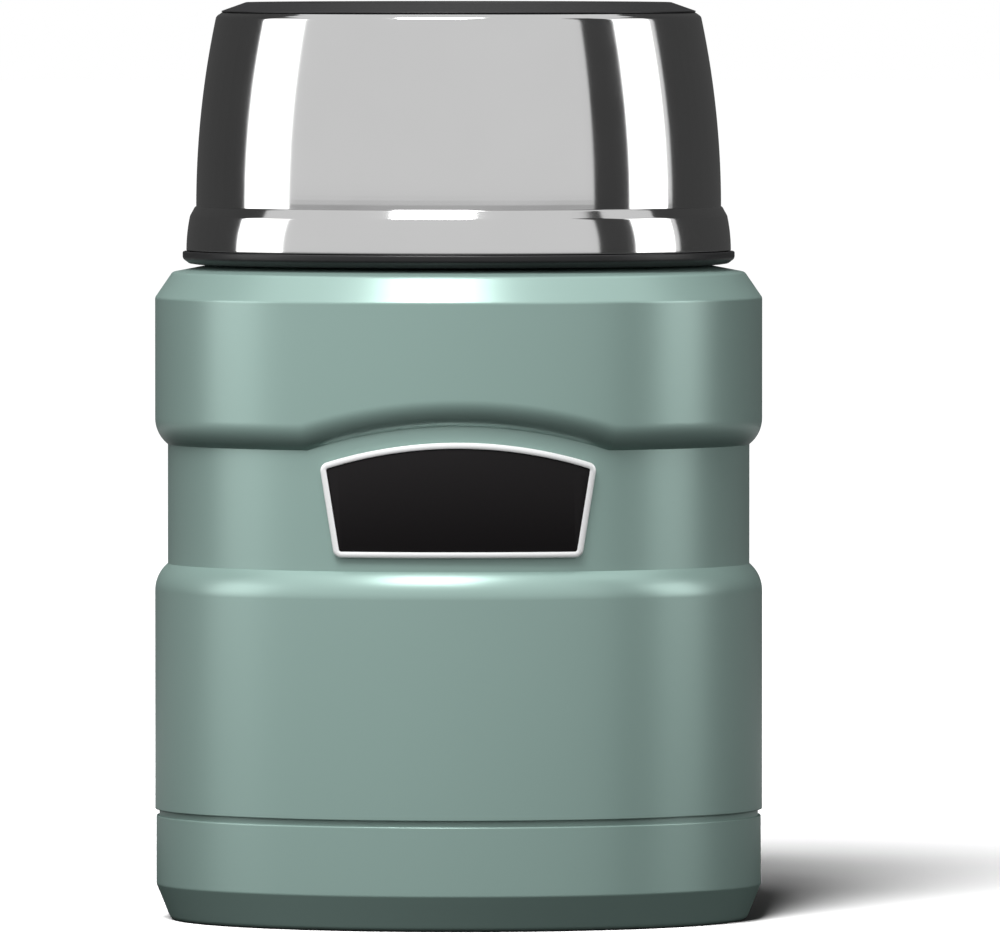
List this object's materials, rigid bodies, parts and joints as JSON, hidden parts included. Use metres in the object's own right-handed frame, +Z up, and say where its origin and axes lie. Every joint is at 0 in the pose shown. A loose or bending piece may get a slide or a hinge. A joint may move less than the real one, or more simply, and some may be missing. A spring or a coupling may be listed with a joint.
{
  "type": "insulated food jar",
  "caption": "Double-walled vacuum food jar with a screw-in stopper, a screw-on steel serving bowl as its lid and a recessed band with a blank badge.",
  "frame": {"origin": "centre of the circle that the foot stands on", "axes": "+Z up along the jar's axis, -Y towards the badge on the front, +X to the right of the badge"},
  "size_m": [0.094, 0.094, 0.1419],
  "materials": {
    "body_paint": "satin",
    "base_paint": "satin",
    "seal_metal": "satin",
    "base_plastic": "matt",
    "vessel_steel": "satin",
    "foil": "bright",
    "adhesive": "matt",
    "badge_border": "bright",
    "badge_field": "matt",
    "seal_rubber": "matt",
    "stopper_plastic": "matt",
    "foam": "matt",
    "rim_plastic": "satin",
    "bowl_steel": "polished",
    "liner_plastic": "satin",
    "foot_plastic": "satin"
  },
  "bodies": {
    "jar": {"outer_shell": "body_paint", "base_cap": "base_paint", "vacuum_seal": "seal_metal", "base_cover": "base_plastic", "inner_vessel": "vessel_steel", "inner_floor": "vessel_steel", "heat_foil": "foil", "getter_holder": "vessel_steel", "getter": "seal_metal", "badge_tape": "adhesive", "badge_frame": "badge_border", "badge_plate": "badge_field"},
    "stopper_stage": {"stopper_seal": "seal_rubber"},
    "stopper": {"stopper_cap": "stopper_plastic", "stopper_plug": "stopper_plastic", "stopper_core": "foam"},
    "bowl_stage": {"bowl_rim": "rim_plastic"},
    "bowl": {"bowl_shell": "bowl_steel", "bowl_liner": "liner_plastic", "bowl_foot": "foot_plastic"}
  },
  "joints": [
    {"name": "stopper_lift", "type": "slide", "parent": "jar", "child": "stopper_stage", "axis": [0, 0, 1], "range_m": [0, 0.0421]},
    {"name": "stopper_turn", "type": "hinge", "parent": "stopper_stage", "child": "stopper", "pos_m": [0, 0, 0.11], "axis": [0, 0, 1], "range_deg": [0, 1260]},
    {"name": "bowl_lift", "type": "slide", "parent": "stopper", "child": "bowl_stage", "axis": [0, 0, 1], "range_m": [0, 0.0421]},
    {"name": "bowl_turn", "type": "hinge", "parent": "bowl_stage", "child": "bowl", "pos_m": [0, 0, 0.11], "axis": [0, 0, 1], "range_deg": [0, 1260]}
  ],
  "couplings": [
    {"joint": "stopper_lift", "follows": "stopper_turn", "m_per_rad": 0.0019099},
    {"joint": "bowl_lift", "follows": "bowl_turn", "m_per_rad": 0.0019099}
  ]
}
